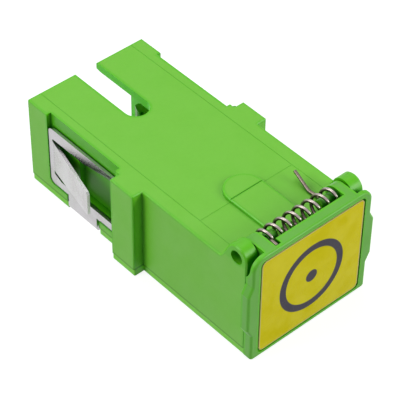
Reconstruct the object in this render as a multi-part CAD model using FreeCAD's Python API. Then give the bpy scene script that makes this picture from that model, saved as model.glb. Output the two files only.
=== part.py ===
"""Duplex-free SC fibre adapter with a spring-shut dust door, one STEP file per piece.

Frame: millimetres, +Z up, +Y out of the open port, the origin on the optical
axis in the middle of the collar. The shut door faces -Y.
"""

import math
import os

import FreeCAD
import Part
from FreeCAD import Vector

# ---- housing -----------------------------------------------------------------
BODY_W = 12.90
BODY_H = 9.36
TOP_Z = 4.64
BODY_FRONT = 14.075
BODY_REAR = 13.87
COLLAR_W = 14.98
COLLAR_T = 2.93
TOP_EDGE_R = 0.14
BAND_H = 0.80
BAND_IN = 0.09
BOTTOM_EDGE_R = 0.12
END_EDGE_CUT = 0.08
LINE_X = 5.10
LINE_Y = -7.115
LINE_W = 0.05
LINE_DEPTH = 0.015
PAD_LINE_W = 0.10
PAD_LINE_DEPTH = 0.05

# ---- plug ports --------------------------------------------------------------
PORT_W = 9.20
PORT_H = 7.76
PORT_CORNER_R = 0.40
MOUTH_SIDE_LEAD = 0.60
MOUTH_ROOF_LEAD = 0.10
MOUTH_DEPTH = 0.60
WEB_T = 1.00
KEY_W = 2.42
KEY_ROUND_Y = 6.965
KEY_SKIN = 0.24
PAD_W = 3.60
PAD_RISE = 0.30
PAD_ROUND_Y = 6.835
PAD_EDGE_CUT = 0.08

# ---- door hinge --------------------------------------------------------------
HINGE_SETBACK = 1.15
HINGE_RISE = 1.17
EAR_R = 1.15
EAR_T = 1.25
EAR_FOOT_REACH = 1.875
EAR_FOOT_R = 0.50
EAR_EDGE_CUT = 0.12
TRUNNION_R = 0.57
TRUNNION_FIT = 0.07
TRUNNION_REACH = 0.45
MANDREL_R = 0.48
MANDREL_END = 2.45

# ---- door --------------------------------------------------------------------
DOOR_GAP = 0.09
DOOR_T = 0.878
DOOR_OVERHANG = 0.08
DOOR_FOOT_RISE = 0.10
DOOR_TOP_R = 1.15
DOOR_BOTTOM_R = 0.30
DOOR_EDGE_R = 0.22
WING_REACH = 0.46
WING_TIP = (-0.80, 3.10)
WING_ROOT = (-1.72, 4.00)
ARM_R = 0.95
ARM_GAP = 0.12
ARM_W_LEFT = 1.17
ARM_W_RIGHT = 0.91
LIP_T = 0.13
LIP_DROP = 0.71
EAR_RELIEF_GAP = 0.54

# ---- label -------------------------------------------------------------------
LABEL_SIDE_MARGIN = 0.90
LABEL_LOW_MARGIN = 0.55
LABEL_HIGH_MARGIN = 0.62
LABEL_T = 0.16
LABEL_R = 0.50
LABEL_SIDE_GAP = 0.14
LABEL_SINK = 0.19
GLUE_GAP = 0.01

# ---- torsion spring ----------------------------------------------------------
WIRE_D = 0.28
WIRE_SIDES = 12
COIL_R = 0.87
COIL_COUNT = 8
COIL_SIDE_GAP = 0.085
COIL_STEP = 30
END_PITCH = 0.34
HOOK_RISE = 0.82
HOOK_REACH = 0.83
HOOK_BEND_R = 0.22
HOOK_FIT = 0.19
HOOK_END_FIT = 0.04
KINK_BEYOND = (-0.095, 2.525)
TIP_BEYOND = (0.255, 4.545, 0.74)
FOOT_GAP = 0.03

# ---- panel clip --------------------------------------------------------------
SHEET_T = 0.25
CLIP_SET_IN = 0.07
CLIP_FRONT = 2.10
CLIP_REAR = 11.17
CLIP_TOP = 3.33
CLIP_FOOT = -3.13
CLIP_CORNER_R = 0.50
STRAP_FRONT = 4.88
STRAP_REAR = 8.80
STRAP_LIFT = 0.03
WINDOW_FRONT = 2.70
WINDOW_REAR = 10.52
WINDOW_TOP = 2.21
WINDOW_BOTTOM = -2.26
WINDOW_NOSE = (10.35, -1.65, 0.27)
WINDOW_NOSE_START = 9.65
TONGUE_ANGLE = 15.0
TONGUE_LEN = 7.20
TONGUE_TOP = 1.86
TONGUE_ROOT_LOW = -1.51
TONGUE_TIP_LOW = -0.74
LEAF_FRONT = 2.95
LEAF_REAR = 6.335
LEAF_TOP = 3.06
LEAF_SINK = 0.45

# ---- clip seat in the housing ------------------------------------------------
SEAT_SIDE_GAP = 0.13
SEAT_FRONT_GAP = 0.145
SEAT_REAR_GAP = 0.065
SEAT_LOW_GAP = 0.03
SEAT_CORNER_GAP = 0.10
STRAP_FRONT_GAP = 0.465
STRAP_REAR_GAP = 0.04
STRAP_TOP_GAP = 0.02
POCKET_DEPTH = 0.55
POCKET_Y = (2.75, 7.40)
POCKET_Z = (-2.20, 2.90)
GUSSET_TOE = (0.08, 0.005)
GUSSET_HEEL = (0.71, 0.16)

# ---- split sleeve and its holders --------------------------------------------
SLEEVE_BORE_R = 1.25
SLEEVE_R = 1.60
SLEEVE_LEN = 11.40
SLEEVE_SLIT = 0.40
SLEEVE_FIT = 0.08
BARREL_R = 2.20
BARREL_END = 6.20
BARREL_LIP_R = 1.42
BARREL_LIP_T = 0.35
SPIGOT_R = 2.55
SPIGOT_FIT = 0.05
WELD_GAP = 0.02
FLANGE_HALF_W = 4.30
FLANGE_HALF_H = 3.60
FLANGE_T = 1.15
HOOK_OUT = 3.30
HOOK_T = 0.55
HOOK_HALF_H = 0.95
HOOK_END = 10.53
BARB_IN = 2.45
BARB_LEN = 1.05

FULL_TURN = 360
MARGIN = 2.0
BURIED = 0.10

# ---- places that follow from the sizes above ---------------------------------
UNDER_Z = TOP_Z - BODY_H
HALF_W = BODY_W / 2.0
HINGE_Y = HINGE_SETBACK - BODY_FRONT
HINGE_Z = TOP_Z + HINGE_RISE
EAR_IN = HALF_W - EAR_T
TRUNNION_END = EAR_IN + TRUNNION_REACH
ARM_OUT = EAR_IN - ARM_GAP
ARM_IN_LEFT = ARM_OUT - ARM_W_LEFT
ARM_IN_RIGHT = ARM_OUT - ARM_W_RIGHT
DOOR_REAR = -(BODY_FRONT + DOOR_GAP)
DOOR_FRONT = DOOR_REAR - DOOR_T
DOOR_HALF_W = HALF_W + DOOR_OVERHANG
DOOR_BOTTOM = UNDER_Z + DOOR_FOOT_RISE
DOOR_TOP = HINGE_Z + ARM_R
WING_OUT = DOOR_HALF_W + WING_REACH
EAR_RELIEF_R = EAR_R + EAR_RELIEF_GAP
LABEL_HALF_W = DOOR_HALF_W - LABEL_SIDE_MARGIN
LABEL_BOTTOM = DOOR_BOTTOM + LABEL_LOW_MARGIN
LABEL_TOP = DOOR_TOP - LABEL_HIGH_MARGIN
CLIP_OUT = HALF_W - CLIP_SET_IN
SEAT_FLOOR = CLIP_OUT - SHEET_T - SEAT_SIDE_GAP
SEAT_FRONT = CLIP_FRONT - SEAT_FRONT_GAP
SEAT_REAR = CLIP_REAR + SEAT_REAR_GAP
SEAT_CORNER_R = CLIP_CORNER_R + SEAT_CORNER_GAP
LIP_TOP = CLIP_FOOT - SEAT_LOW_GAP
STRAP_SEAT_FRONT = STRAP_FRONT - STRAP_FRONT_GAP
STRAP_SEAT_REAR = STRAP_REAR + STRAP_REAR_GAP
STRAP_SEAT_DEPTH = STRAP_LIFT + SHEET_T + STRAP_TOP_GAP
POCKET_FLOOR = SEAT_FLOOR - POCKET_DEPTH
HOOK_X = -ARM_IN_LEFT + COIL_SIDE_GAP + WIRE_D / 2.0
FOOT_X = ARM_IN_RIGHT - COIL_SIDE_GAP - WIRE_D / 2.0
COIL_FIRST_TOP = HOOK_X + 0.75 * END_PITCH
COIL_LAST_TOP = FOOT_X - 0.50 * END_PITCH


def box(x: tuple, y: tuple, z: tuple) -> Part.Shape:
    """Return the box between two values on each axis."""
    size = [high - low for low, high in (x, y, z)]
    return Part.makeBox(*size, Vector(x[0], y[0], z[0]))


def rod(radius: float, x0: float, x1: float, y: float, z: float) -> Part.Shape:
    """Return a cylinder that runs along X from x0 to x1."""
    return Part.makeCylinder(radius, x1 - x0, Vector(x0, y, z), Vector(1, 0, 0))


def turned(radius: float, y0: float, y1: float) -> Part.Shape:
    """Return a cylinder about the optical axis from y0 to y1."""
    return Part.makeCylinder(radius, y1 - y0, Vector(0, y0, 0), Vector(0, 1, 0))


def prism(points: list, push: Vector) -> Part.Shape:
    """Return the closed outline of the points, extruded by the push vector."""
    wire = Part.makePolygon([*points, points[0]])
    return Part.Face(wire).extrude(push)


def side_prism(outline: list, x0: float, x1: float) -> Part.Shape:
    """Return a (y, z) outline extruded along X from x0 to x1."""
    return prism([Vector(x0, y, z) for y, z in outline], Vector(x1 - x0, 0, 0))


def end_prism(outline: list, y0: float, y1: float) -> Part.Shape:
    """Return an (x, z) outline extruded along Y from y0 to y1."""
    return prism([Vector(x, y0, z) for x, z in outline], Vector(0, y1 - y0, 0))


def plan_prism(outline: list, z0: float, z1: float) -> Part.Shape:
    """Return an (x, y) outline extruded along Z from z0 to z1."""
    return prism([Vector(x, y, z0) for x, y in outline], Vector(0, 0, z1 - z0))


def round_edges(shape: Part.Shape, radius: float, wanted) -> Part.Shape:
    """Round every edge that the wanted test accepts."""
    return shape.makeFillet(radius, [edge for edge in shape.Edges if wanted(edge)])


def break_edges(shape: Part.Shape, width: float, wanted) -> Part.Shape:
    """Bevel every edge that the wanted test accepts."""
    return shape.makeChamfer(width, [edge for edge in shape.Edges if wanted(edge)])


def runs_along(edge: Part.Shape, axis: str) -> bool:
    """Say whether a straight edge runs along one named axis."""
    box_ = edge.BoundBox
    spans = {"x": box_.XLength, "y": box_.YLength, "z": box_.ZLength}
    return spans[axis] > 1e-3 and all(spans[key] < 1e-6 for key in spans if key != axis)


def mirrored(shape: Part.Shape) -> Part.Shape:
    """Return the shape reflected to the other side of the X = 0 plane."""
    return shape.mirror(Vector(0, 0, 0), Vector(1, 0, 0))


def turned_about(shape: Part.Shape) -> Part.Shape:
    """Return a copy turned half a turn about Z, front for rear."""
    copy = shape.copy()
    copy.rotate(Vector(0, 0, 0), Vector(0, 0, 1), 180.0)
    return copy


def slab(width: float, y0: float, y1: float) -> Part.Shape:
    """Return a full-height block with rounded long edges and a foot band set in."""
    half = width / 2.0
    line_z = UNDER_Z + BAND_H
    right = [
        (half - BAND_IN, UNDER_Z),
        (half - BAND_IN, line_z),
        (half, line_z),
        (half, TOP_Z),
    ]
    outline = right + [(-x, z) for x, z in reversed(right)]
    block = end_prism(outline, y0, y1)
    block = round_edges(
        block, TOP_EDGE_R, lambda e: runs_along(e, "y") and e.BoundBox.ZMin > 0
    )
    return round_edges(
        block,
        BOTTOM_EDGE_R,
        lambda e: runs_along(e, "y") and e.BoundBox.ZMax < UNDER_Z + 1e-6,
    )


def softened_ends(block: Part.Shape, y0: float, y1: float) -> Part.Shape:
    """Bevel the edges that lie in the two end faces of a block."""

    def in_end(edge: Part.Shape) -> bool:
        span = edge.BoundBox
        return span.YLength < 1e-6 and min(abs(span.YMin - y0), abs(span.YMin - y1)) < 1e-6

    return break_edges(block, END_EDGE_CUT, in_end)


def arc(centre: tuple, radius: float, first: float, last: float) -> Part.Shape:
    """Return an arc in the X = 0 plane between two angles, in radians from +Y."""
    spots = []
    for turn in (first, (first + last) / 2.0, last):
        y = centre[0] + radius * math.cos(turn)
        spots.append(Vector(0, y, centre[1] + radius * math.sin(turn)))
    return Part.Arc(*spots).toShape()


def ear() -> Part.Shape:
    """Return the right-hand hinge ear: round head, leaning flank, hollow foot."""
    reach, drop = EAR_FOOT_REACH, HINGE_RISE
    lean = math.acos(EAR_R / math.hypot(reach, drop)) - math.atan2(drop, reach)
    hollow = HINGE_Y + reach + EAR_FOOT_R * math.tan((math.pi / 2.0 - lean) / 2.0)
    head = arc((HINGE_Y, HINGE_Z), EAR_R, math.pi, lean)
    foot = arc((hollow, TOP_Z + EAR_FOOT_R), EAR_FOOT_R, math.pi + lean, 1.5 * math.pi)
    low = TOP_Z - MARGIN
    floor = [Vector(0, hollow, TOP_Z), Vector(0, hollow, low)]
    front = [Vector(0, HINGE_Y - EAR_R, low), Vector(0, HINGE_Y - EAR_R, HINGE_Z)]
    flank = [head.Vertexes[-1].Point, foot.Vertexes[0].Point]
    edges = [Part.makeLine(*flank), Part.makeLine(*floor), Part.makeLine(*front)]
    edges += [head, foot, Part.makeLine(floor[1], front[0])]
    outline = Part.Wire(Part.__sortEdges__(edges))
    shape = Part.Face(outline).extrude(Vector(EAR_T, 0, 0))
    shape.translate(Vector(EAR_IN, 0, 0))

    def on_head(edge: Part.Shape) -> bool:
        return edge.BoundBox.XMin > HALF_W - 1e-6 and edge.BoundBox.ZMax > TOP_Z + 1e-6

    return break_edges(shape, EAR_EDGE_CUT, on_head)


def key_pad() -> Part.Shape:
    """Return the raised pad with a round end over the front key slot."""
    half = PAD_W / 2.0
    top = TOP_Z + PAD_RISE
    pad = box((-half, half), (-BODY_FRONT, -PAD_ROUND_Y), (TOP_Z - PAD_RISE, top))
    end = Part.makeCylinder(half, 2 * PAD_RISE, Vector(0, -PAD_ROUND_Y, TOP_Z - PAD_RISE))
    pad = pad.fuse(end).removeSplitter()

    def on_top(edge: Part.Shape) -> bool:
        return edge.BoundBox.ZMin > top - 1e-6 and edge.BoundBox.YMax > -BODY_FRONT + 1e-6

    pad = break_edges(pad, PAD_EDGE_CUT, on_top)
    return pad.cut(rod(COIL_R + WIRE_D, -half, half, HINGE_Y, HINGE_Z))


def mould_lines() -> list:
    """Return the cutters for the fine lines that the mould inserts leave on top."""
    rows = (-BODY_FRONT - MARGIN, BODY_REAR + MARGIN)
    fine = (TOP_Z - LINE_DEPTH, TOP_Z)
    half = LINE_W / 2.0
    along = box((LINE_X - half, LINE_X + half), rows, fine)
    across = box((-LINE_X, LINE_X), (LINE_Y - half, LINE_Y + half), fine)
    deep = (TOP_Z + PAD_RISE - PAD_LINE_DEPTH, TOP_Z + PAD_RISE + MARGIN)
    half = PAD_LINE_W / 2.0
    on_pad = box((-PAD_W / 2.0, PAD_W / 2.0), (LINE_Y - half, LINE_Y + half), deep)
    return [along, mirrored(along), across, on_pad]


def clip_seat() -> Part.Shape:
    """Return the cutter for the clip's seat on the right-hand side."""
    wide = HALF_W + MARGIN
    high = TOP_Z + MARGIN
    seat = box((SEAT_FLOOR, wide), (SEAT_FRONT, SEAT_REAR), (LIP_TOP, high))
    seat = round_edges(
        seat,
        SEAT_CORNER_R,
        lambda e: runs_along(e, "x") and e.BoundBox.YMin > SEAT_REAR - 0.01
        and e.BoundBox.ZMax < LIP_TOP + 0.01,
    )
    strap = box((SEAT_FLOOR, wide), (STRAP_SEAT_FRONT, STRAP_SEAT_REAR), (-high, 0))
    pocket = box((POCKET_FLOOR, wide), POCKET_Y, POCKET_Z)
    return seat.fuse([strap, pocket])


def port(mouth: float) -> Part.Shape:
    """Return the cutter for one plug port, from the web out to the mouth."""
    half_w = PORT_W / 2.0
    half_h = PORT_H / 2.0
    core = box((-half_w, half_w), (WEB_T / 2.0, mouth + MARGIN), (-half_h, half_h))
    core = round_edges(core, PORT_CORNER_R, lambda e: runs_along(e, "y"))
    wires = []
    for y, side, roof in (
        (mouth - MOUTH_DEPTH, 0.0, 0.0),
        (mouth + 0.01, MOUTH_SIDE_LEAD, MOUTH_ROOF_LEAD),
    ):
        x, z = half_w + side, half_h + roof
        corners = [(-x, -z), (x, -z), (x, z), (-x, z), (-x, -z)]
        wires.append(Part.makePolygon([Vector(cx, y, cz) for cx, cz in corners]))
    return core.fuse(Part.makeLoft(wires, True, True))


def key_slot(mouth: float, roof: float) -> Part.Shape:
    """Return the cutter for a key slot with a round end, up to the roof height."""
    half = KEY_W / 2.0
    low = PORT_H / 2.0 - 0.5
    run = box((-half, half), (KEY_ROUND_Y, mouth + MARGIN), (low, roof))
    return run.fuse(Part.makeCylinder(half, roof - low, Vector(0, KEY_ROUND_Y, low)))


def gusset() -> Part.Shape:
    """Return the right-hand rib between the collar and the front of the clip's seat."""
    toe_x, toe_y = SEAT_FLOOR + GUSSET_TOE[0], SEAT_FRONT + GUSSET_TOE[1]
    heel_x, face = SEAT_FLOOR + GUSSET_HEEL[0], COLLAR_T / 2.0
    inner = SEAT_FLOOR - BURIED
    outline = [
        (inner, toe_y),
        (toe_x, toe_y),
        (heel_x, face + GUSSET_HEEL[1]),
        (heel_x, face - BURIED),
        (inner, face - BURIED),
    ]
    return plan_prism(outline, LIP_TOP, TOP_Z - TOP_EDGE_R)


def housing() -> Part.Shape:
    """Return the moulded body with its collar, ports, hinge ears and clip seat."""
    body = softened_ends(slab(BODY_W, -BODY_FRONT, BODY_REAR), -BODY_FRONT, BODY_REAR)
    collar = softened_ends(slab(COLLAR_W, -COLLAR_T / 2, COLLAR_T / 2), -COLLAR_T / 2, COLLAR_T / 2)
    right_ear = ear()
    body = body.fuse([right_ear, mirrored(right_ear), key_pad()])
    seat = clip_seat()
    body = body.cut([seat, mirrored(seat)])
    rib = gusset()
    body = body.fuse([collar, rib, mirrored(rib)])
    strap_low = (UNDER_Z - MARGIN, UNDER_Z + STRAP_SEAT_DEPTH)
    strap = box((-HALF_W, HALF_W), (STRAP_SEAT_FRONT, STRAP_SEAT_REAR), strap_low)
    holes = rod(TRUNNION_R + TRUNNION_FIT, -COLLAR_W, COLLAR_W, HINGE_Y, HINGE_Z)
    cuts = [
        strap,
        holes,
        port(BODY_REAR),
        turned_about(port(BODY_FRONT)),
        key_slot(BODY_REAR, TOP_Z + MARGIN),
        turned_about(key_slot(BODY_FRONT, TOP_Z - KEY_SKIN)),
        turned(SPIGOT_R + SPIGOT_FIT, -WEB_T, WEB_T),
        *mould_lines(),
    ]
    return body.cut(cuts).removeSplitter()


def door_plate() -> Part.Shape:
    """Return the door's plate with its side wings, before the arms join it."""
    w, top, low = DOOR_HALF_W, DOOR_TOP, DOOR_BOTTOM
    plate = box((-w, w), (DOOR_FRONT, DOOR_REAR), (low, top))
    plate = round_edges(
        plate, DOOR_TOP_R, lambda e: runs_along(e, "y") and e.BoundBox.ZMin > 0
    )
    plate = round_edges(
        plate, DOOR_BOTTOM_R, lambda e: runs_along(e, "y") and e.BoundBox.ZMax < 0
    )
    outline = [
        (w - BURIED, WING_ROOT[0]),
        (w, WING_ROOT[0]),
        (WING_OUT, WING_TIP[0]),
        (WING_OUT, WING_TIP[1]),
        (w, WING_ROOT[1]),
        (w - BURIED, WING_ROOT[1]),
    ]
    wing = end_prism(outline, DOOR_FRONT, DOOR_REAR)
    plate = plate.fuse([wing, mirrored(wing)]).removeSplitter()

    def on_rim(edge: Part.Shape) -> bool:
        return edge.BoundBox.YMax < DOOR_FRONT + 1e-6

    return round_edges(plate, DOOR_EDGE_R, on_rim)


def door_arm(x_in: float, x_out: float) -> Part.Shape:
    """Return one arm that carries the door round behind the hinge axis."""
    outline = [
        (HINGE_Y, DOOR_TOP),
        (HINGE_Y, HINGE_Z - ARM_R),
        (DOOR_REAR - DOOR_T / 2.0, HINGE_Z - ARM_R),
        (DOOR_REAR - DOOR_T / 2.0, DOOR_TOP),
    ]
    arm = side_prism(outline, x_in, x_out)
    return arm.fuse(rod(ARM_R, x_in, x_out, HINGE_Y, HINGE_Z)).removeSplitter()


def label_blank(grow: float, y0: float, y1: float) -> Part.Shape:
    """Return the label's rounded outline, grown all round, between two Y values."""
    half = LABEL_HALF_W + grow
    blank = box((-half, half), (y0, y1), (LABEL_BOTTOM - grow, LABEL_TOP + grow))
    return round_edges(blank, LABEL_R, lambda e: runs_along(e, "y"))


def door() -> Part.Shape:
    """Return the moulded door: plate, wings, arms, trunnions and spring mandrels."""
    relief = rod(EAR_RELIEF_R, ARM_OUT, WING_OUT + MARGIN, HINGE_Y, HINGE_Z)
    above = box(
        (ARM_OUT, WING_OUT + MARGIN),
        (HINGE_Y - EAR_RELIEF_R, HINGE_Y),
        (HINGE_Z, DOOR_TOP + MARGIN),
    )
    recess = label_blank(LABEL_SIDE_GAP, DOOR_FRONT - MARGIN, DOOR_FRONT + LABEL_SINK)
    plate = door_plate().cut([relief, above, mirrored(relief), mirrored(above), recess])
    lip_y = (DOOR_REAR - BURIED, DOOR_REAR + LIP_T)
    lip = box((-ARM_OUT, ARM_OUT), lip_y, (HINGE_Z - LIP_DROP, DOOR_TOP))
    left = door_arm(-ARM_OUT, -ARM_IN_LEFT)
    right = door_arm(ARM_IN_RIGHT, ARM_OUT)
    pins = [
        rod(TRUNNION_R, -TRUNNION_END, -ARM_OUT, HINGE_Y, HINGE_Z),
        rod(TRUNNION_R, ARM_OUT, TRUNNION_END, HINGE_Y, HINGE_Z),
        rod(MANDREL_R, -ARM_IN_LEFT, -MANDREL_END, HINGE_Y, HINGE_Z),
        rod(MANDREL_R, MANDREL_END, ARM_IN_RIGHT, HINGE_Y, HINGE_Z),
    ]
    shape = plate.fuse([lip, left, right, *pins]).removeSplitter()
    notch = box(
        (-ARM_IN_LEFT, HOOK_X + WIRE_D / 2.0 + HOOK_FIT),
        (HINGE_Y - COIL_R - HOOK_REACH - HOOK_END_FIT, HINGE_Y),
        (HINGE_Z + HOOK_RISE - WIRE_D - HOOK_BEND_R, DOOR_TOP + MARGIN),
    )
    keep_arm = box((-ARM_OUT, -ARM_IN_LEFT), (DOOR_FRONT, HINGE_Y), (0, DOOR_TOP))
    return shape.cut(notch.cut(keep_arm))


def door_label() -> Part.Shape:
    """Return the printed card that is glued into the front of the door."""
    back = DOOR_FRONT + LABEL_SINK - GLUE_GAP
    return label_blank(0.0, back - LABEL_T, back)


def spring_hook() -> list:
    """Return the hook's centre line, from the door's notch back to the first coil."""
    front = HINGE_Y - COIL_R
    top = HINGE_Z + HOOK_RISE
    path = [Vector(HOOK_X, front - HOOK_REACH, top)]
    for degrees in range(0, 91, COIL_STEP):
        turn = math.radians(degrees)
        y = front - HOOK_BEND_R + HOOK_BEND_R * math.sin(turn)
        z = top - HOOK_BEND_R + HOOK_BEND_R * math.cos(turn)
        path.append(Vector(HOOK_X, y, z))
    return path


def spring_coil() -> list:
    """Return the coil's centre line, with a closer pitch in the two end turns."""
    first, last = FULL_TURN // 4, FULL_TURN // 4 + FULL_TURN * (round(COIL_COUNT) - 1)
    rise = (COIL_LAST_TOP - COIL_FIRST_TOP) / (last - first)
    path = []
    for degrees in range(-FULL_TURN // 2, last + FULL_TURN // 2 + 1, COIL_STEP):
        inside = min(max(degrees, first), last)
        x = COIL_FIRST_TOP + rise * (inside - first)
        x += END_PITCH * (degrees - inside) / FULL_TURN
        turn = math.radians(degrees)
        y = HINGE_Y + COIL_R * math.cos(turn)
        path.append(Vector(x, y, HINGE_Z + COIL_R * math.sin(turn)))
    return path


def spring_foot() -> list:
    """Return the foot's centre line, from its kink back over the housing."""
    start = Vector(FOOT_X, HINGE_Y, TOP_Z)
    kink = Vector(*KINK_BEYOND, WIRE_D / 2.0 + FOOT_GAP)
    return [start + kink, start + Vector(*TIP_BEYOND)]


def door_spring() -> Part.Shape:
    """Return the torsion spring, a wire of many flats swept along its centre line."""
    path = spring_hook() + spring_coil() + spring_foot()
    side = Vector(1, 0, 0)
    up = (path[1] - path[0]).normalize().cross(side)
    ring = []
    for number in range(WIRE_SIDES + 1):
        turn = 2.0 * math.pi * number / WIRE_SIDES
        spoke = side * math.cos(turn) + up * math.sin(turn)
        ring.append(path[0] + spoke * (WIRE_D / 2.0))
    sweep = Part.BRepOffsetAPI.MakePipeShell(Part.makePolygon(path))
    sweep.setTransitionMode(1)
    sweep.add(Part.makePolygon(ring))
    sweep.build()
    sweep.makeSolid()
    return sweep.shape()


def clip_side() -> Part.Shape:
    """Return the right-hand side plate of the clip with its window and tongue."""
    inner = CLIP_OUT - SHEET_T
    plate = box((inner, CLIP_OUT), (CLIP_FRONT, CLIP_REAR), (CLIP_FOOT, CLIP_TOP))
    plate = round_edges(plate, CLIP_CORNER_R, lambda e: runs_along(e, "x"))
    nose_y, nose_z, nose_r = WINDOW_NOSE
    slope = math.atan2(nose_z - nose_r - WINDOW_BOTTOM, nose_y - WINDOW_NOSE_START)
    window = [
        (WINDOW_FRONT, WINDOW_BOTTOM),
        (WINDOW_NOSE_START, WINDOW_BOTTOM),
        (nose_y + nose_r * math.sin(slope), nose_z - nose_r * math.cos(slope)),
        (WINDOW_REAR, nose_z),
        (WINDOW_REAR, WINDOW_TOP),
        (LEAF_REAR, WINDOW_TOP),
        (LEAF_FRONT, LEAF_TOP),
        (WINDOW_FRONT, LEAF_TOP),
    ]
    slit_r = (WINDOW_TOP - TONGUE_TOP) / 2.0
    x0, x1 = inner - MARGIN, CLIP_OUT + MARGIN
    cuts = [
        side_prism(window, x0, x1),
        rod(nose_r, x0, x1, nose_y, nose_z),
        rod(slit_r, x0, x1, WINDOW_REAR, WINDOW_TOP - slit_r),
    ]
    plate = plate.cut(cuts)
    leg_z = (UNDER_Z + STRAP_LIFT, CLIP_FOOT + 2.0 * SHEET_T)
    leg = box((inner, CLIP_OUT), (STRAP_FRONT, STRAP_REAR), leg_z)
    return plate.fuse([leg, clip_tongue(), clip_leaf()])


def clip_tongue() -> Part.Shape:
    """Return the tongue that springs outward behind the panel."""
    root = WINDOW_REAR + 0.01
    outline = [
        (root, TONGUE_ROOT_LOW),
        (root, TONGUE_TOP),
        (root - TONGUE_LEN + 0.2, TONGUE_TOP),
        (root - TONGUE_LEN, TONGUE_TOP - 0.2),
        (root - TONGUE_LEN, TONGUE_TIP_LOW + 0.2),
        (root - TONGUE_LEN + 0.2, TONGUE_TIP_LOW),
    ]
    tongue = side_prism(outline, CLIP_OUT - SHEET_T, CLIP_OUT)
    tongue.rotate(Vector(CLIP_OUT - SHEET_T, root, 0), Vector(0, 0, 1), TONGUE_ANGLE)
    heel_z = (TONGUE_ROOT_LOW, TONGUE_TOP)
    heel = box((CLIP_OUT - SHEET_T, CLIP_OUT), (root - 0.06, root + 0.06), heel_z)
    return tongue.fuse(heel)


def clip_leaf() -> Part.Shape:
    """Return the leaf bent inward from the top bar into the housing's pocket."""
    middle = CLIP_OUT - SHEET_T / 2.0
    corners = [
        Vector(middle, LEAF_FRONT, LEAF_TOP + 0.06),
        Vector(middle, LEAF_REAR, WINDOW_TOP + 0.06),
        Vector(middle - LEAF_SINK, LEAF_FRONT, WINDOW_TOP),
    ]
    normal = (corners[1] - corners[0]).cross(corners[2] - corners[0]).normalize()
    half = normal * (SHEET_T * 0.4)
    return prism([point - half for point in corners], half * 2.0)


def panel_clip() -> Part.Shape:
    """Return the folded sheet clip that grips the housing from below."""
    right = clip_side()
    low = UNDER_Z + STRAP_LIFT
    strap = box((-CLIP_OUT, CLIP_OUT), (STRAP_FRONT, STRAP_REAR), (low, low + SHEET_T))
    clip = right.fuse([mirrored(right), strap]).removeSplitter()

    def outer_fold(edge: Part.Shape) -> bool:
        span = edge.BoundBox
        wide = abs(span.XMin) > CLIP_OUT - SHEET_T
        return runs_along(edge, "y") and span.ZMax < low + 0.01 and wide

    return round_edges(clip, SHEET_T * 1.4, outer_fold)


def split_sleeve() -> Part.Shape:
    """Return the slit ceramic sleeve that lines up the two ferrules."""
    half = SLEEVE_LEN / 2.0
    tube = turned(SLEEVE_R, -half, half).cut(turned(SLEEVE_BORE_R, -half, half))
    slit = box((-SLEEVE_SLIT / 2.0, SLEEVE_SLIT / 2.0), (-half, half), (0, SLEEVE_R + 1.0))
    return tube.cut(slit)


def latch_hook() -> Part.Shape:
    """Return the right-hand latch hook with its barb turned inward."""
    inner = HOOK_OUT - HOOK_T
    outline = [
        (inner, WEB_T / 2.0 + 0.3),
        (HOOK_OUT, WEB_T / 2.0 + 0.3),
        (HOOK_OUT, HOOK_END - 0.15),
        (HOOK_OUT - 0.15, HOOK_END),
        (inner + 0.05, HOOK_END),
        (BARB_IN, HOOK_END - BARB_LEN * 0.7),
        (BARB_IN, HOOK_END - BARB_LEN),
        (inner, HOOK_END - BARB_LEN - 0.08),
    ]
    return plan_prism(outline, -HOOK_HALF_H, HOOK_HALF_H)


def sleeve_holder() -> Part.Shape:
    """Return the rear holder: flange, barrel, spigot and two latch hooks."""
    face = WEB_T / 2.0 + SPIGOT_FIT
    half_w, half_h = FLANGE_HALF_W, FLANGE_HALF_H
    flange = box((-half_w, half_w), (face, face + FLANGE_T), (-half_h, half_h))
    flange = round_edges(flange, PORT_CORNER_R, lambda e: runs_along(e, "y"))
    barrel = turned(BARREL_R, face, BARREL_END)
    spigot = turned(SPIGOT_R, WELD_GAP, face + 0.1)
    hook = latch_hook()
    solid = flange.fuse([barrel, spigot, hook, mirrored(hook)])
    room = turned(SLEEVE_R + SLEEVE_FIT, -1.0, BARREL_END - BARREL_LIP_T)
    mouth = turned(BARREL_LIP_R, 0.0, BARREL_END + 1.0)
    return solid.cut([room, mouth]).removeSplitter()


def pieces() -> dict:
    """Return every piece by its node name."""
    holder = sleeve_holder()
    return {
        "housing": housing(),
        "door": door(),
        "door_label": door_label(),
        "door_spring": door_spring(),
        "panel_clip": panel_clip(),
        "split_sleeve": split_sleeve(),
        "front_sleeve_holder": turned_about(holder),
        "rear_sleeve_holder": holder,
    }


def main() -> None:
    """Build every piece and write it as one STEP file in parts/."""
    os.makedirs("parts", exist_ok=True)
    for name, shape in pieces().items():
        solid = shape.Solids[0] if len(shape.Solids) == 1 else shape
        solid.exportStep(f"parts/{name}.step")
        span = solid.BoundBox
        print(
            f"{name}: solids {len(shape.Solids)} valid {shape.isValid()} "
            f"volume {solid.Volume:.2f} x {span.XMin:.2f}..{span.XMax:.2f} "
            f"y {span.YMin:.2f}..{span.YMax:.2f} z {span.ZMin:.2f}..{span.ZMax:.2f}"
        )


main()
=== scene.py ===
"""Looks of an SC fibre adapter with a spring-shut dust door.

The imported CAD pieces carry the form. This script gives each one its finish,
winds the door spring as a smooth wire and lights the whole on a pale floor.
Frame: metres, +Z up, +Y out of the open port, the origin on the optical axis.
"""

import logging
import math
from dataclasses import dataclass
from enum import Enum

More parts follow.
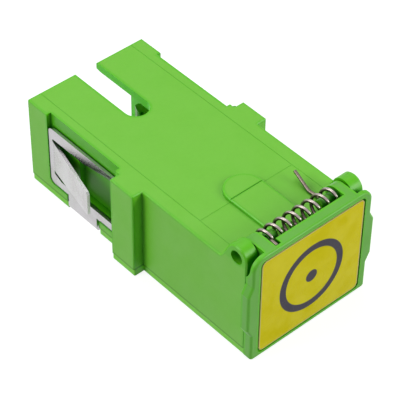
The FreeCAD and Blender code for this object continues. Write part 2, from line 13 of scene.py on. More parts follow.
import bpy
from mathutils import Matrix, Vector

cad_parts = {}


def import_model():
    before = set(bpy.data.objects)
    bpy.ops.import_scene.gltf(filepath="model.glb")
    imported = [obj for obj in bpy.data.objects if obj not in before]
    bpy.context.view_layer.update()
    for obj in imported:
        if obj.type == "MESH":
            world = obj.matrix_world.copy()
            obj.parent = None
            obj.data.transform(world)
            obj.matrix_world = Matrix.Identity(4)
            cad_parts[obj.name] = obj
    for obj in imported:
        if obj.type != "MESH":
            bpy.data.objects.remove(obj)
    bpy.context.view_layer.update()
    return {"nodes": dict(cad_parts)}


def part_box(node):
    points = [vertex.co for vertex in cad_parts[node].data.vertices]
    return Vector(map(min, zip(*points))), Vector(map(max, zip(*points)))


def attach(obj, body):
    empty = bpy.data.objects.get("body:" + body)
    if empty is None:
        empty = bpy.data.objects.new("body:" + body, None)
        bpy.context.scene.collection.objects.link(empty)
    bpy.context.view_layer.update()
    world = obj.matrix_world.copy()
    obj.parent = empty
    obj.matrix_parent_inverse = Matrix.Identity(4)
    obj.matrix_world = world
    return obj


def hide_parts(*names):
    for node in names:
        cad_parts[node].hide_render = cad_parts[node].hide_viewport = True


LOG = logging.getLogger("adapter")

MM = 0.001
HINGE_Y = -12.925 * MM
HINGE_Z = 5.81 * MM
COIL_RADIUS = 0.87 * MM
FOOT_LEDGE = -3.92 * MM
CRISP = 0.02 * MM

QUARTER_TURN = 90
HALF_TURN = 180
FULL_TURN = 360

DISPLAY_MAX = 255.0
DISPLAY_KNEE = 0.04045
DISPLAY_SLOPE = 12.92
DISPLAY_LIFT = 0.055
DISPLAY_POWER = 2.4

Pair = tuple[float, float]
Triple = tuple[float, float, float]
Colour = Triple
Socket = bpy.types.NodeSocket
Input = Socket | float | Triple
Pieces = dict[str, bpy.types.Object]


class Axis(Enum):
    """The coordinate that a mask reads."""

    X = "X"
    Z = "Z"


@dataclass(frozen=True)
class Step:
    """A smooth step of a value, 0 at low and top at high, rising or falling."""

    low: float
    high: float
    top: float = 1.0


@dataclass(frozen=True)
class Pattern:
    """A noise: how large its patches are, how detailed and how stretched."""

    size: float
    detail: float = 3.0
    stretch: Triple = (1.0, 1.0, 1.0)


def linear_part(shown: float) -> float:
    """Return the linear value of one display value.

    Args:
        shown: the display value, 0 to 1.

    Returns:
        The linear value, 0 to 1.
    """
    if shown <= DISPLAY_KNEE:
        return shown / DISPLAY_SLOPE
    return ((shown + DISPLAY_LIFT) / (1.0 + DISPLAY_LIFT)) ** DISPLAY_POWER


def linear(red: int, green: int, blue: int) -> Colour:
    """Return a linear colour from three display values.

    Args:
        red: the red value, 0 to 255.
        green: the green value, 0 to 255.
        blue: the blue value, 0 to 255.

    Returns:
        The linear red, green and blue, 0 to 1.
    """
    return (
        linear_part(red / DISPLAY_MAX),
        linear_part(green / DISPLAY_MAX),
        linear_part(blue / DISPLAY_MAX),
    )


class Shader:
    """One material's node tree, with short calls for the nodes it is made of."""

    openness_samples: int = 12
    mix_amount: int = 0
    mix_first: int = 6
    mix_second: int = 7
    mix_result: int = 2

    def __init__(self, name: str) -> None:
        """Start a tree with its output, a Principled shader and the coordinates.

        Args:
            name: the material's name.
        """
        self.material = bpy.data.materials.new(name)
        self.material.use_nodes = True
        self.nodes = self.material.node_tree.nodes
        self.links = self.material.node_tree.links
        self.nodes.clear()
        self.output = self.nodes.new("ShaderNodeOutputMaterial")
        self.body = self.nodes.new("ShaderNodeBsdfPrincipled")
        self.links.new(self.body.outputs["BSDF"], self.output.inputs["Surface"])
        self.coords = self.nodes.new("ShaderNodeTexCoord").outputs["Object"]

    def put(self, node: bpy.types.Node, socket: str | int, value: Input) -> None:
        """Link an output to a node's input, or set the input to a constant.

        Args:
            node: the node that takes the value.
            socket: the input's name or number.
            value: the output to link, or the constant.
        """
        if isinstance(value, Socket):
            self.links.new(value, node.inputs[socket])
        else:
            node.inputs[socket].default_value = value

    def surface(self, socket: str, value: Socket) -> None:
        """Link an output to one input of the Principled shader."""
        self.put(self.body, socket, value)

    def constant(self, **values: float | Triple) -> None:
        """Set constants on the Principled shader, underscores standing for spaces."""
        for name, value in values.items():
            self.body.inputs[name.replace("_", " ")].default_value = value

    def operate(self, sort: str, kind: str, values: tuple[Input, ...]) -> bpy.types.Node:
        """Add a node that does one operation on its inputs.

        Args:
            sort: the type of the node.
            kind: the operation's name.
            values: what it works on, in order.

        Returns:
            The node.
        """
        node = self.nodes.new(sort)
        node.operation = kind
        for number, value in enumerate(values):
            self.put(node, number, value)
        return node

    def math(self, kind: str, *values: Input) -> Socket:
        """Return the result of a Math node.

        Args:
            kind: the operation's name.
            values: what it works on, in order.

        Returns:
            The node's value.
        """
        return self.operate("ShaderNodeMath", kind, values).outputs[0]

    def vector(self, kind: str, *values: Input) -> Socket:
        """Return the vector, or the length, that a Vector Math node gives.

        Args:
            kind: the operation's name.
            values: what it works on, in order.

        Returns:
            The node's vector, or its value for a length or a distance.
        """
        node = self.operate("ShaderNodeVectorMath", kind, values)
        return node.outputs["Value" if kind in ("LENGTH", "DISTANCE") else "Vector"]

    def place(self, axis: Axis) -> Socket:
        """Return one coordinate of the shaded point.

        Args:
            axis: which one.

        Returns:
            The coordinate in metres.
        """
        node = self.nodes.new("ShaderNodeSeparateXYZ")
        self.put(node, 0, self.coords)
        return node.outputs[axis.value]

    def aside(self) -> Socket:
        """Return how far the shaded point is from the middle plane."""
        return self.math("ABSOLUTE", self.place(Axis.X))

    def band(self, value: Socket, step: Step) -> Socket:
        """Return the smooth step of a value.

        Args:
            value: the value.
            step: where the step starts and ends, and how high it gets.

        Returns:
            The stepped value.
        """
        node = self.nodes.new("ShaderNodeMapRange")
        node.interpolation_type = "SMOOTHSTEP"
        self.put(node, "Value", value)
        self.put(node, "From Min", step.low)
        self.put(node, "From Max", step.high)
        self.put(node, "To Max", step.top)
        return node.outputs["Result"]

    def noise(self, pattern: Pattern) -> Socket:
        """Return a noise value of 0 to 1.

        Args:
            pattern: its size, detail and stretch.

        Returns:
            The noise.
        """
        scale = tuple(part / pattern.size for part in pattern.stretch)
        node = self.nodes.new("ShaderNodeTexNoise")
        self.put(node, "Vector", self.vector("MULTIPLY", self.coords, scale))
        self.put(node, "Scale", 1.0)
        self.put(node, "Detail", pattern.detail)
        return node.outputs["Fac"]

    def openness(self, reach: float, inside: bool = False) -> Socket:
        """Return how open a point is to its surroundings.

        Args:
            reach: how far it looks, in metres.
            inside: look into the material, where edges and thin walls score low.

        Returns:
            The openness, 0 to 1.
        """
        node = self.nodes.new("ShaderNodeAmbientOcclusion")
        node.samples = self.openness_samples
        node.inside = inside
        self.put(node, "Distance", reach)
        return node.outputs["AO"]

    def mix(self, amount: Socket, first: Socket | Colour, second: Socket | Colour) -> Socket:
        """Return a mix of two colours.

        Args:
            amount: the share of the second colour, 0 to 1.
            first: the first colour.
            second: the second colour.

        Returns:
            The mixed colour.
        """
        node = self.nodes.new("ShaderNodeMix")
        node.data_type = "RGBA"
        self.put(node, self.mix_amount, amount)
        for number, colour in ((self.mix_first, first), (self.mix_second, second)):
            self.put(node, number, (*colour, 1.0) if isinstance(colour, tuple) else colour)
        return node.outputs[self.mix_result]

    def bump(self, pattern: Pattern, depth: float) -> None:
        """Add a fine relief to the surface.

        Args:
            pattern: the relief's noise.
            depth: its depth in metres.
        """
        node = self.nodes.new("ShaderNodeBump")
        self.put(node, "Strength", 1.0)
        self.put(node, "Distance", depth)
        self.put(node, "Height", self.noise(pattern))
        self.surface("Normal", node.outputs["Normal"])


@dataclass(frozen=True)
class MouldedPlastic:
    """Satin moulded plastic, uneven in tone, with a painted glow on its edges and painted
    shade in its hollows.
    """

    name: str
    colour: Colour
    deep: Colour
    # painted glow: a vivid green on edges and thin walls, standing in for light through the
    # plastic
    edge: Colour = linear(96, 202, 0)
    # painted shade: a deep green laid in hollows, creases and gaps between parts
    nook_shade: Colour = linear(26, 140, 0)
    flow: Pattern = Pattern(2.6 * MM)
    flow_share: float = 0.55
    speck: Pattern = Pattern(0.35 * MM, 4.0)
    speck_share: float = 0.35
    tone: Step = Step(0.25, 0.75, 0.55)
    edge_glow_reach: float = 0.32 * MM
    edge_glow_step: Step = Step(0.98, 0.72)
    nook_shade_reach: float = 1.0 * MM
    nook_shade_step: Step = Step(0.82, 0.20)
    nook_shade_floor: Step = Step(FOOT_LEDGE - 0.2 * MM, FOOT_LEDGE)
    roughness: float = 0.36
    dulling: Step = Step(0.2, 0.8, 0.12)
    grain: Pattern = Pattern(0.12 * MM, 2.0)
    grain_depth: float = 0.004 * MM
    gloss: float = 0.42
    glow: float = 0.10
    glow_reach: float = 0.5 * MM
    glow_spread: Triple = (0.3, 1.0, 0.15)

    def make(self) -> bpy.types.Material:
        """Build the finish.

        Returns:
            The material.
        """
        shader = Shader(self.name)
        flow = shader.noise(self.flow)
        # the painted glow is laid over the toned colour on edges
        colour = shader.mix(self.edges(shader), self.toned(shader, flow), self.edge)
        colour = self.zoned(shader, colour)
        # painted shade darkens the hollows
        shader.surface("Base Color", shader.mix(self.nook_shade_mask(shader), colour, self.nook_shade))
        rough = shader.math("ADD", shader.band(flow, self.dulling), self.roughness)
        shader.surface("Roughness", rough)
        shader.bump(self.grain, self.grain_depth)
        shader.constant(
            Specular_IOR_Level=self.gloss,
            Subsurface_Weight=self.glow,
            Subsurface_Radius=self.glow_spread,
            Subsurface_Scale=self.glow_reach,
        )
        return shader.material

    def toned(self, shader: Shader, flow: Socket) -> Socket:
        """Return the plain colour, drifting between its two tones.

        Args:
            shader: the material's tree.
            flow: the broad noise.

        Returns:
            The colour.
        """
        broad = shader.math("MULTIPLY", flow, self.flow_share)
        drift = shader.math("MULTIPLY_ADD", shader.noise(self.speck), self.speck_share, broad)
        return shader.mix(shader.band(drift, self.tone), self.colour, self.deep)

    def edges(self, shader: Shader) -> Socket:
        """Return 1 on the piece's edges and thin walls, where the painted glow goes, else 0.
        """
        return shader.band(shader.openness(self.edge_glow_reach, True), self.edge_glow_step)

    def zoned(self, shader: Shader, colour: Socket) -> Socket:
        """Return the colour as it is: this plastic has the same tones all over."""
        return colour

    def nook_shade_mask(self, shader: Shader) -> Socket:
        """Return up to 1 in the hollows above the foot, where the painted shade goes, else 0.

        Args:
            shader: the material's tree.

        Returns:
            The mask.
        """
        shaded = shader.band(shader.openness(self.nook_shade_reach), self.nook_shade_step)
        above = shader.band(shader.place(Axis.Z), self.nook_shade_floor)
        return shader.math("MULTIPLY", shaded, above)


@dataclass(frozen=True)
class HousingPlastic(MouldedPlastic):
    """The housing's plastic, with painted glow on its ears, painted bounce light on its inner
    faces, a painted highlight on its foot and a painted shade line above the ledge.
    """

    # painted bounce light: a saturated green on the inner faces under the top, in the clip's
    # recess and in the port
    seat_bounce: Colour = linear(84, 187, 0)
    seat_half: float = 6.10 * MM
    slot_bounce: Colour = linear(88, 216, 0)
    slot_half: float = 5.0 * MM
    top_face: float = 4.62 * MM
    # the painted glow, nearly full, on the ears over the top
    ears: Step = Step(5.0 * MM, 5.4 * MM, 0.85)
    # painted highlight: a lighter green on the band under the ledge along the foot
    foot: Colour = linear(140, 240, 60)
    foot_highlight_step: Step = Step(FOOT_LEDGE, FOOT_LEDGE - 0.1 * MM, 0.6)
    # painted shade: a thin dark line on the wall just over the ledge
    ledge_shade: Colour = linear(84, 168, 0)
    ledge_shade_height: float = 0.16 * MM
    ledge_shade_fade: float = 0.05 * MM
    ledge_shade_from: float = 6.25 * MM

    def edges(self, shader: Shader) -> Socket:
        """Return 1 on the edges, and nearly 1 on the ears over the top, where the painted
        glow goes, else 0.
        """
        ears = shader.band(shader.place(Axis.Z), self.ears)
        return shader.math("MAXIMUM", super().edges(shader), ears)

    def zoned(self, shader: Shader, colour: Socket) -> Socket:
        """Return the colour with the painted highlight on the foot, the painted bounce light
        on the inner faces and the painted shade line over the ledge.

        Args:
            shader: the material's tree.
            colour: the plastic's colour so far.

        Returns:
            The colour.
        """
        # painted highlight, painted bounce light and painted shade, laid in turn
        zones = (
            (shader.band(shader.place(Axis.Z), self.foot_highlight_step), self.foot),
            (self.within(shader, self.seat_half), self.seat_bounce),
            (self.within(shader, self.slot_half), self.slot_bounce),
            (self.ledge_shade_line(shader), self.ledge_shade),
        )
        for mask, tone in zones:
            colour = shader.mix(mask, colour, tone)
        return colour

    def within(self, shader: Shader, half: float) -> Socket:
        """Return 1 below the top face and within a half width, else 0.

        Args:
            shader: the material's tree.
            half: the half width, from the middle plane.

        Returns:
            The mask.
        """
        near = shader.band(shader.aside(), Step(half, half - CRISP))
        below = shader.band(shader.place(Axis.Z), Step(self.top_face, self.top_face - CRISP))
        return shader.math("MULTIPLY", near, below)

    def ledge_shade_line(self, shader: Shader) -> Socket:
        """Return 1 on the thin painted shade line that runs over the ledge along the foot,
        else 0.

        Args:
            shader: the material's tree.

        Returns:
            The mask.
        """
        height = shader.place(Axis.Z)
        top = FOOT_LEDGE + self.ledge_shade_height
        under = shader.band(height, Step(top, top - CRISP))
        over = shader.band(height, Step(FOOT_LEDGE - self.ledge_shade_fade, FOOT_LEDGE))
        beside = shader.band(shader.aside(), Step(self.ledge_shade_from - CRISP, self.ledge_shade_from))
        return shader.math("MULTIPLY", shader.math("MULTIPLY", under, over), beside)


@dataclass(frozen=True)
class RolledSteel:
    """Bright thin sheet steel with a faint rolling grain and soft smudges."""

    name: str
    colour: Colour
    tarnish: Colour
    smudge: Pattern = Pattern(1.9 * MM)
    tarnishing: Step = Step(0.35, 0.8, 0.35)
    roughness: float = 0.18
    smudge_roughness: float = 0.16
    streak: Pattern = Pattern(0.10 * MM, stretch=(1.0, 0.06, 1.0))
    streak_depth: float = 0.002 * MM

    def make(self) -> bpy.types.Material:
        """Build the finish.

        Returns:
            The material.
        """
        shader = Shader(self.name)
        smudge = shader.noise(self.smudge)
        tarnished = shader.band(smudge, self.tarnishing)
        shader.surface("Base Color", shader.mix(tarnished, self.colour, self.tarnish))
        rough = shader.math("MULTIPLY_ADD", smudge, self.smudge_roughness, self.roughness)
        shader.surface("Roughness", rough)
        shader.bump(self.streak, self.streak_depth)
        shader.constant(Metallic=1.0)
        return shader.material


@dataclass(frozen=True)
class DrawnWire:
    """Drawn spring wire, with a painted highlight on the outside of its coils and faint
    drawing marks.
    """

    name: str
    colour: Colour
    dark: Colour
    # painted highlight colour for the outside of the coils
    highlight_colour: Colour
    marks: Pattern = Pattern(0.22 * MM, 4.0)
    darkening: Step = Step(0.35, 0.75, 0.6)
    roughness: float = 0.18
    mark_roughness: float = 0.14
    scratch: Pattern = Pattern(0.06 * MM, 2.0)
    scratch_depth: float = 0.0015 * MM
    highlight_rise: Step = Step(COIL_RADIUS + 0.05 * MM, COIL_RADIUS + 0.13 * MM)
    highlight_fall: Step = Step(COIL_RADIUS + 0.30 * MM, COIL_RADIUS + 0.20 * MM)

    def make(self) -> bpy.types.Material:
        """Build the finish.

        Returns:
            The material.
        """
        shader = Shader(self.name)
        marks = shader.noise(self.marks)
        dull = shader.mix(shader.band(marks, self.darkening), self.colour, self.dark)
        # the painted highlight is laid on the outside of the coils
        shader.surface("Base Color", shader.mix(self.crown_highlight(shader), dull, self.highlight_colour))
        rough = shader.math("MULTIPLY_ADD", marks, self.mark_roughness, self.roughness)
        shader.surface("Roughness", rough)
        shader.bump(self.scratch, self.scratch_depth)
        shader.constant(Metallic=1.0)
        return shader.material

    def crown_highlight(self, shader: Shader) -> Socket:
        """Return 1 on the outside of the coils, where the painted highlight goes, else 0.

        Args:
            shader: the material's tree.

        Returns:
            The mask.
        """
        flat = shader.vector("MULTIPLY", shader.coords, (0.0, 1.0, 1.0))
        radius = shader.vector("DISTANCE", flat, (0.0, HINGE_Y, HINGE_Z))
        highlight_rise = shader.band(radius, self.highlight_rise)
        return shader.math("MULTIPLY", highlight_rise, shader.band(radius, self.highlight_fall))


@dataclass(frozen=True)
class Ceramic:
    """Ground white zirconia, smooth and slightly warm."""

    name: str
    colour: Colour
    shade: Colour
    cloud: Pattern = Pattern(1.2 * MM)
    clouding: Step = Step(0.3, 0.8, 0.5)
    grind: Pattern = Pattern(0.05 * MM, 2.0)
    grind_depth: float = 0.001 * MM
    roughness: float = 0.22
    gloss: float = 0.5

    def make(self) -> bpy.types.Material:
        """Build the finish.

        Returns:
            The material.
        """
        shader = Shader(self.name)
        clouded = shader.band(shader.noise(self.cloud), self.clouding)
        shader.surface("Base Color", shader.mix(clouded, self.colour, self.shade))
        shader.bump(self.grind, self.grind_depth)
        shader.constant(Roughness=self.roughness, Specular_IOR_Level=self.gloss)
        return shader.material


@dataclass(frozen=True)
class PrintedCard:
    """Coated card with a pale cut edge, printed with one plain ring and a dot."""

    name: str
    face: Colour
    face_deep: Colour
    cut_edge: Colour
    ink: Colour
    centre: Pair
    half: Pair
    corner: float = 0.50 * MM
    edge: float = 0.13 * MM
    edge_solid: float = 0.55
    ring_out: float = 3.55 * MM
    ring_in: float = 2.85 * MM
    dot: float = 0.62 * MM
    ink_fade: float = 0.03 * MM
    cloud: Pattern = Pattern(1.6 * MM, 4.0)
    clouding: Step = Step(0.25, 0.8, 0.8)
    dulling: Step = Step(0.2, 0.8, 0.55)
    fibre: Pattern = Pattern(0.15 * MM)
    fibre_depth: float = 0.002 * MM
    gloss: float = 0.06

    def make(self) -> bpy.types.Material:
        """Build the finish.

        Returns:
            The material.
        """
        shader = Shader(self.name)
        flat = shader.vector("MULTIPLY", shader.coords, (1.0, 0.0, 1.0))
        place = shader.vector("SUBTRACT", flat, (self.centre[0], 0.0, self.centre[1]))
        cloud = shader.noise(self.cloud)
        face = shader.mix(shader.band(cloud, self.clouding), self.face, self.face_deep)
        printed = shader.mix(self.print_mask(shader, place), face, self.ink)
        colour = shader.mix(self.edge_band(shader, place), printed, self.cut_edge)
        shader.surface("Base Color", colour)
        shader.surface("Roughness", shader.band(cloud, self.dulling))
        shader.bump(self.fibre, self.fibre_depth)
        shader.constant(Specular_IOR_Level=self.gloss)
        return shader.material

    def disc(self, shader: Shader, radius: Socket, size: float) -> Socket:
        """Return 1 within a disc of a given size, else 0."""
        return shader.band(radius, Step(size + self.ink_fade, size - self.ink_fade))

    def print_mask(self, shader: Shader, place: Socket) -> Socket:
        """Return 1 on the printed ring and its dot, else 0.

        Args:
            shader: the material's tree.
            place: the vector from the card's middle.

        Returns:
            The mask.
        """
        radius = shader.vector("LENGTH", place)
        hole = shader.math("SUBTRACT", 1.0, self.disc(shader, radius, self.ring_in))
        ring = shader.math("MULTIPLY", self.disc(shader, radius, self.ring_out), hole)
        return shader.math("MAXIMUM", ring, self.disc(shader, radius, self.dot))

    def edge_band(self, shader: Shader, place: Socket) -> Socket:
        """Return 1 in the band along the card's rounded outline, else 0.

        Args:
            shader: the material's tree.
            place: the vector from the card's middle.

        Returns:
            The mask.
        """
        room = (self.half[0] - self.corner, 0.0, self.half[1] - self.corner)
        beyond = shader.vector("SUBTRACT", shader.vector("ABSOLUTE", place), room)
        outside = shader.vector("MAXIMUM", beyond, (0.0, 0.0, 0.0))
        reach = shader.math("SUBTRACT", shader.vector("LENGTH", outside), self.corner)
        return shader.band(reach, Step(-self.edge, -self.edge * self.edge_solid))


@dataclass(frozen=True)
class Palette:
    """Every finish on the adapter, apart from the card's print."""

    housing: HousingPlastic = HousingPlastic(
        "housing_green_plastic", linear(121, 209, 50), linear(113, 201, 46)
    )
    door: MouldedPlastic = MouldedPlastic(
        "door_green_plastic", linear(104, 190, 58), linear(97, 181, 52)
    )
    holder: MouldedPlastic = MouldedPlastic(
        "holder_green_plastic", linear(110, 200, 14), linear(102, 190, 10)
    )
    clip: RolledSteel = RolledSteel(
        "clip_sheet_steel", linear(192, 190, 193), linear(160, 154, 148)
    )
    # the wire's third colour is the painted highlight
    wire: DrawnWire = DrawnWire(
        "door_spring_wire", linear(108, 99, 90), linear(52, 44, 38), linear(166, 158, 151)
    )
    sleeve: Ceramic = Ceramic(
        "sleeve_zirconia", linear(240, 238, 232), linear(228, 224, 214)
    )


@dataclass
class Housing:
    """The moulded housing and the sleeve parts that it carries inside."""

    palette: Palette

    def dress(self, nodes: Pieces) -> None:
        """Give the housing and its inner pieces their finishes.

        Args:
            nodes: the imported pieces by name.
        """
        paint(nodes["housing"], self.palette.housing.make())
        paint(nodes["split_sleeve"], self.palette.sleeve.make())
        holder = self.palette.holder.make()
        for name in ("front_sleeve_holder", "rear_sleeve_holder"):
            paint(nodes[name], holder)


@dataclass
class PanelClip:
    """The folded sheet clip."""

    palette: Palette

    def dress(self, nodes: Pieces) -> None:
        """Give the clip its finish."""
        paint(nodes["panel_clip"], self.palette.clip.make())


@dataclass
class Door:
    """The door with its printed card."""

    palette: Palette
    card_face: Colour = linear(248, 236, 18)
    card_deep: Colour = linear(232, 219, 10)
    card_cut: Colour = linear(226, 214, 130)
    card_ink: Colour = linear(78, 76, 88)

    def dress(self, nodes: Pieces) -> None:
        """Give the door its plastic and the card its print."""
        paint(nodes["door"], self.palette.door.make())
        paint(nodes["door_label"], self.card().make())

    def card(self) -> PrintedCard:
        """Centre the card's print on the card.

        Returns:
            The card's finish.
        """
        low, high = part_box("door_label")
        return PrintedCard(
            "door_card_print",
            self.card_face,
            self.card_deep,
            self.card_cut,
            self.card_ink,
            centre=((low.x + high.x) / 2.0, (low.z + high.z) / 2.0),
            half=((high.x - low.x) / 2.0, (high.z - low.z) / 2.0),
        )


@dataclass
class DoorSpring:
    """The door's torsion spring, wound as one smooth wire."""

    palette: Palette
    wire: float = 0.30 * MM
    sides: int = 20
    pitch: float = 1.0293 * MM
    end_pitch: float = 0.34 * MM
    first_top: float = -3.43 * MM
    turns: int = 8
    hook_turn: float = 0.75
    hook_rise: float = 0.82 * MM
    hook_reach: float = 0.83 * MM
    bend: float = 0.22 * MM
    kink: Triple = (3.85 * MM, -10.40 * MM, 4.81 * MM)
    kink_bend: float = 0.25 * MM
    kink_start: float = 0.1
    tip: Triple = (4.20 * MM, -8.38 * MM, 5.38 * MM)
    step: int = 10

    def hook(self) -> list[Vector]:
        """Lay the hook's centre line, from the door back to the first coil.

        Returns:
            The line's points in order.
        """
        x = self.first_top - self.hook_turn * self.end_pitch
        front = HINGE_Y - COIL_RADIUS
        top = HINGE_Z + self.hook_rise
        path = [Vector((x, front - self.hook_reach, top))]
        for degrees in range(0, QUARTER_TURN + 1, self.step):
            turn = math.radians(degrees)
            y = front - self.bend + self.bend * math.sin(turn)
            path.append(Vector((x, y, top - self.bend + self.bend * math.cos(turn))))
        return path

    def coil(self) -> list[Vector]:
        """Lay the coil's centre line, closer wound in its two end turns.

        Returns:
            The line's points in order.
        """
        first_top = QUARTER_TURN
        last_top = first_top + FULL_TURN * (self.turns - 1)
        path = []
        for degrees in range(-HALF_TURN, last_top + HALF_TURN + 1, self.step):
            held = min(max(degrees, first_top), last_top)
            x = self.first_top + self.pitch * (held - first_top) / FULL_TURN
            x += self.end_pitch * (degrees - held) / FULL_TURN
            turn = math.radians(degrees)
            y = HINGE_Y + COIL_RADIUS * math.cos(turn)
            path.append(Vector((x, y, HINGE_Z + COIL_RADIUS * math.sin(turn))))
        return path

    def foot(self) -> list[Vector]:
        """Lay the foot's centre line, from its kink to its raised tip.

        Returns:
            The line's points in order.
        """
        kink = Vector(self.kink)
        tip = Vector(self.tip)
        lead = (tip - kink).normalized() * self.kink_bend
        before = kink - Vector((0, self.kink_bend, 0))
        return [before, kink + lead * self.kink_start, kink + lead, tip]

    def tree(self, material: bpy.types.Material) -> bpy.types.NodeTree:
        """Return the tree that sweeps a round wire along the input's edges.

        Args:
            material: the wire's finish.

        Returns:
            The Geometry Nodes tree.
        """
        tree = bpy.data.node_groups.new("wound_wire", "GeometryNodeTree")
        face = tree.interface
        face.new_socket("Geometry", in_out="INPUT", socket_type="NodeSocketGeometry")
        face.new_socket("Wire radius", in_out="INPUT", socket_type="NodeSocketFloat")
        face.new_socket("Sides", in_out="INPUT", socket_type="NodeSocketInt")
        face.new_socket("Geometry", in_out="OUTPUT", socket_type="NodeSocketGeometry")
        add = tree.nodes.new
        source, sink = add("NodeGroupInput"), add("NodeGroupOutput")
        curve = add("GeometryNodeMeshToCurve")
        ring = add("GeometryNodeCurvePrimitiveCircle")
        sweep = add("GeometryNodeCurveToMesh")
        smooth = add("GeometryNodeSetShadeSmooth")
        real = add("GeometryNodeRealizeInstances")
        finish = add("GeometryNodeSetMaterial")
        sweep.inputs["Fill Caps"].default_value = True
        finish.inputs["Material"].default_value = material
        join = tree.links.new
        join(source.outputs["Geometry"], curve.inputs["Mesh"])
        join(source.outputs["Wire radius"], ring.inputs["Radius"])
        join(source.outputs["Sides"], ring.inputs["Resolution"])
        join(curve.outputs["Curve"], sweep.inputs["Curve"])
        join(ring.outputs["Curve"], sweep.inputs["Profile Curve"])
        join(sweep.outputs["Mesh"], smooth.inputs["Geometry"])
        join(smooth.outputs["Geometry"], real.inputs["Geometry"])
        join(real.outputs["Geometry"], finish.inputs["Geometry"])
        join(finish.outputs["Geometry"], sink.inputs["Geometry"])
        return tree

    def build(self) -> bpy.types.Object:
        """Wind the spring and let it stand for the CAD wire.

        Returns:
            The finished piece.
        """
        path = self.hook() + self.coil() + self.foot()
        mesh = bpy.data.meshes.new("door_spring_path")
        edges = [(i, i + 1) for i in range(len(path) - 1)]
        mesh.from_pydata([tuple(point) for point in path], edges, [])
        tree = self.tree(self.palette.wire.make())
        values = {"Wire radius": self.wire / 2.0, "Sides": self.sides}
        piece = grown("door_spring_wire", mesh, tree, values)
        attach(piece, "body")
        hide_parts("door_spring")
        return piece


@dataclass(frozen=True)
class Softbox:
    """One round soft lamp: its place, what it faces, its size and its power."""

    name: str
    place: Triple
    aim: Triple
    size: float
    power: float

    def hang(self) -> bpy.types.Object:
        """Add the lamp to the scene.

        Returns:
            The lamp's object.
        """
        lamp = bpy.data.lights.new(self.name, "AREA")
        lamp.shape = "DISK"
        lamp.size = self.size
        lamp.energy = self.power
        piece = bpy.data.objects.new(self.name, lamp)
        piece.location = self.place
        facing = Vector(self.aim) - Vector(self.place)
        piece.rotation_euler = facing.to_track_quat("-Z", "Y").to_euler()
        bpy.context.scene.collection.objects.link(piece)
        return piece


@dataclass
class Studio:
    """The pale floor, the soft lamps and the camera."""

    floor_z: float
    floor_half: float = 3.0
    floor_grey: float = 0.32
    floor_glow: float = 0.88
    sky: float = 0.12
    overhead: Softbox = Softbox(
        "overhead_softbox", (0.04, 0.12, 0.31), (0.0, 0.0, 0.0), 0.26, 0.38
    )
    left: Softbox = Softbox("left_softbox", (-0.27, 0.12, 0.165), (0.0, 0.0, 0.0), 0.20, 0.55)
    front: Softbox = Softbox(
        "front_softbox", (0.17, -0.26, 0.135), (0.0, -0.01, 0.0), 0.18, 0.58
    )
    spot: Triple = (-75.527 * MM, -85.335 * MM, 107.906 * MM)
    turn: Triple = (46.199, -0.525, -41.484)
    lens: float = 164.722
    sensor: float = 36.0
    clip_near: float = 0.01
    clip_far: float = 20.0

    def floor(self) -> bpy.types.Object:
        """Lay the floor, white to the camera where no shadow falls.

        Returns:
            The floor's object.
        """
        half = self.floor_half
        mesh = bpy.data.meshes.new("floor")
        corners = [(-half, -half), (half, -half), (half, half), (-half, half)]
        mesh.from_pydata([(x, y, self.floor_z) for x, y in corners], [], [(0, 1, 2, 3)])
        piece = bpy.data.objects.new("floor", mesh)
        bpy.context.scene.collection.objects.link(piece)
        shader = Shader("floor_white")
        shader.constant(
            Roughness=1.0,
            Specular_IOR_Level=0.0,
            Base_Color=(self.floor_grey, self.floor_grey, self.floor_grey, 1.0),
            Emission_Color=(1.0, 1.0, 1.0, 1.0),
        )
        seen = seen_directly(shader.nodes, shader.links)
        shader.surface("Emission Strength", shader.math("MULTIPLY", seen, self.floor_glow))
        paint(piece, shader.material)
        return piece

    def light(self) -> None:
        """Add the world's even light and the soft lamps."""
        world = bpy.data.worlds.new("studio")
        bpy.context.scene.world = world
        world.use_nodes = True
        nodes, links = world.node_tree.nodes, world.node_tree.links
        back = nodes["Background"]
        back.inputs["Color"].default_value = (1.0, 1.0, 1.0, 1.0)
        blend = nodes.new("ShaderNodeMapRange")
        links.new(seen_directly(nodes, links), blend.inputs["Value"])
        blend.inputs["To Min"].default_value = self.sky
        blend.inputs["To Max"].default_value = 1.0
        links.new(blend.outputs["Result"], back.inputs["Strength"])
        for lamp in (self.overhead, self.left, self.front):
            lamp.hang()

    def camera(self) -> None:
        """Add the camera and make it the scene's own."""
        data = bpy.data.cameras.new("camera")
        data.lens = self.lens
        data.sensor_width = self.sensor
        data.clip_start = self.clip_near
        data.clip_end = self.clip_far
        piece = bpy.data.objects.new("camera", data)
        piece.location = self.spot
        piece.rotation_euler = tuple(math.radians(angle) for angle in self.turn)
        bpy.context.scene.collection.objects.link(piece)
        bpy.context.scene.camera = piece


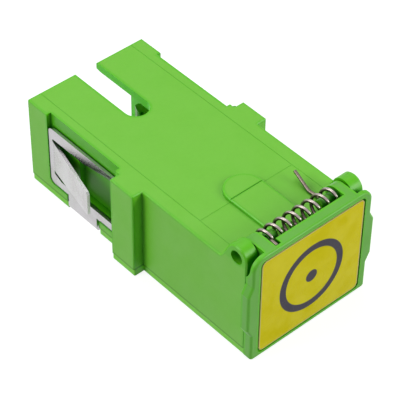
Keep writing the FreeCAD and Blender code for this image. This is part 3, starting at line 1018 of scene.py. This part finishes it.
def seen_directly(nodes: bpy.types.Nodes, links: bpy.types.NodeLinks) -> Socket:
    """Return 1 where the camera, a mirror or a clear piece looks, else 0.

    Args:
        nodes: the nodes of the floor's or the world's tree.
        links: its links.

    Returns:
        The mask.
    """
    path = nodes.new("ShaderNodeLightPath")
    seen = path.outputs["Is Camera Ray"]
    for kind in ("Is Glossy Ray", "Is Transmission Ray"):
        either = nodes.new("ShaderNodeMath")
        either.operation = "MAXIMUM"
        links.new(seen, either.inputs[0])
        links.new(path.outputs[kind], either.inputs[1])
        seen = either.outputs[0]
    return seen


def paint(piece: bpy.types.Object, material: bpy.types.Material) -> None:
    """Put one material on every face of a piece and report it.

    Args:
        piece: the piece.
        material: its finish.
    """
    piece.data.materials.clear()
    piece.data.materials.append(material)
    LOG.info("%s is finished in %s", piece.name, material.name)


def grown(
    name: str, mesh: bpy.types.Mesh, tree: bpy.types.NodeTree, values: dict[str, float]
) -> bpy.types.Object:
    """Return a plain mesh object grown from a mesh by a Geometry Nodes tree.

    Args:
        name: the piece's name.
        mesh: the input mesh.
        tree: the tree.
        values: the tree's inputs, by name.

    Returns:
        The finished object, with no modifier left.
    """
    seed = bpy.data.objects.new(name + "_seed", mesh)
    bpy.context.scene.collection.objects.link(seed)
    modifier = seed.modifiers.new("grow", "NODES")
    modifier.node_group = tree
    for item in tree.interface.items_tree:
        if item.item_type == "SOCKET" and item.in_out == "INPUT" and item.name in values:
            modifier[item.identifier] = values[item.name]
    graph = bpy.context.evaluated_depsgraph_get()
    result = bpy.data.meshes.new_from_object(seed.evaluated_get(graph))
    seed.modifiers.remove(modifier)
    bpy.data.objects.remove(seed)
    result.name = name
    piece = bpy.data.objects.new(name, result)
    bpy.context.scene.collection.objects.link(piece)
    return piece


def main() -> None:
    """Build every piece in order and report it."""
    logging.basicConfig(level=logging.INFO, format="%(name)s: %(message)s")
    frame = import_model()
    nodes = frame["nodes"]
    palette = Palette()
    for part in (Housing(palette), PanelClip(palette), Door(palette)):
        part.dress(nodes)
    spring = DoorSpring(palette).build()
    LOG.info("%s has %d faces", spring.name, len(spring.data.polygons))
    studio = Studio(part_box("housing")[0].z)
    studio.floor()
    studio.light()
    studio.camera()
    scene = bpy.context.scene
    scene.view_settings.view_transform = "Standard"


if __name__ == "__main__":
    main()
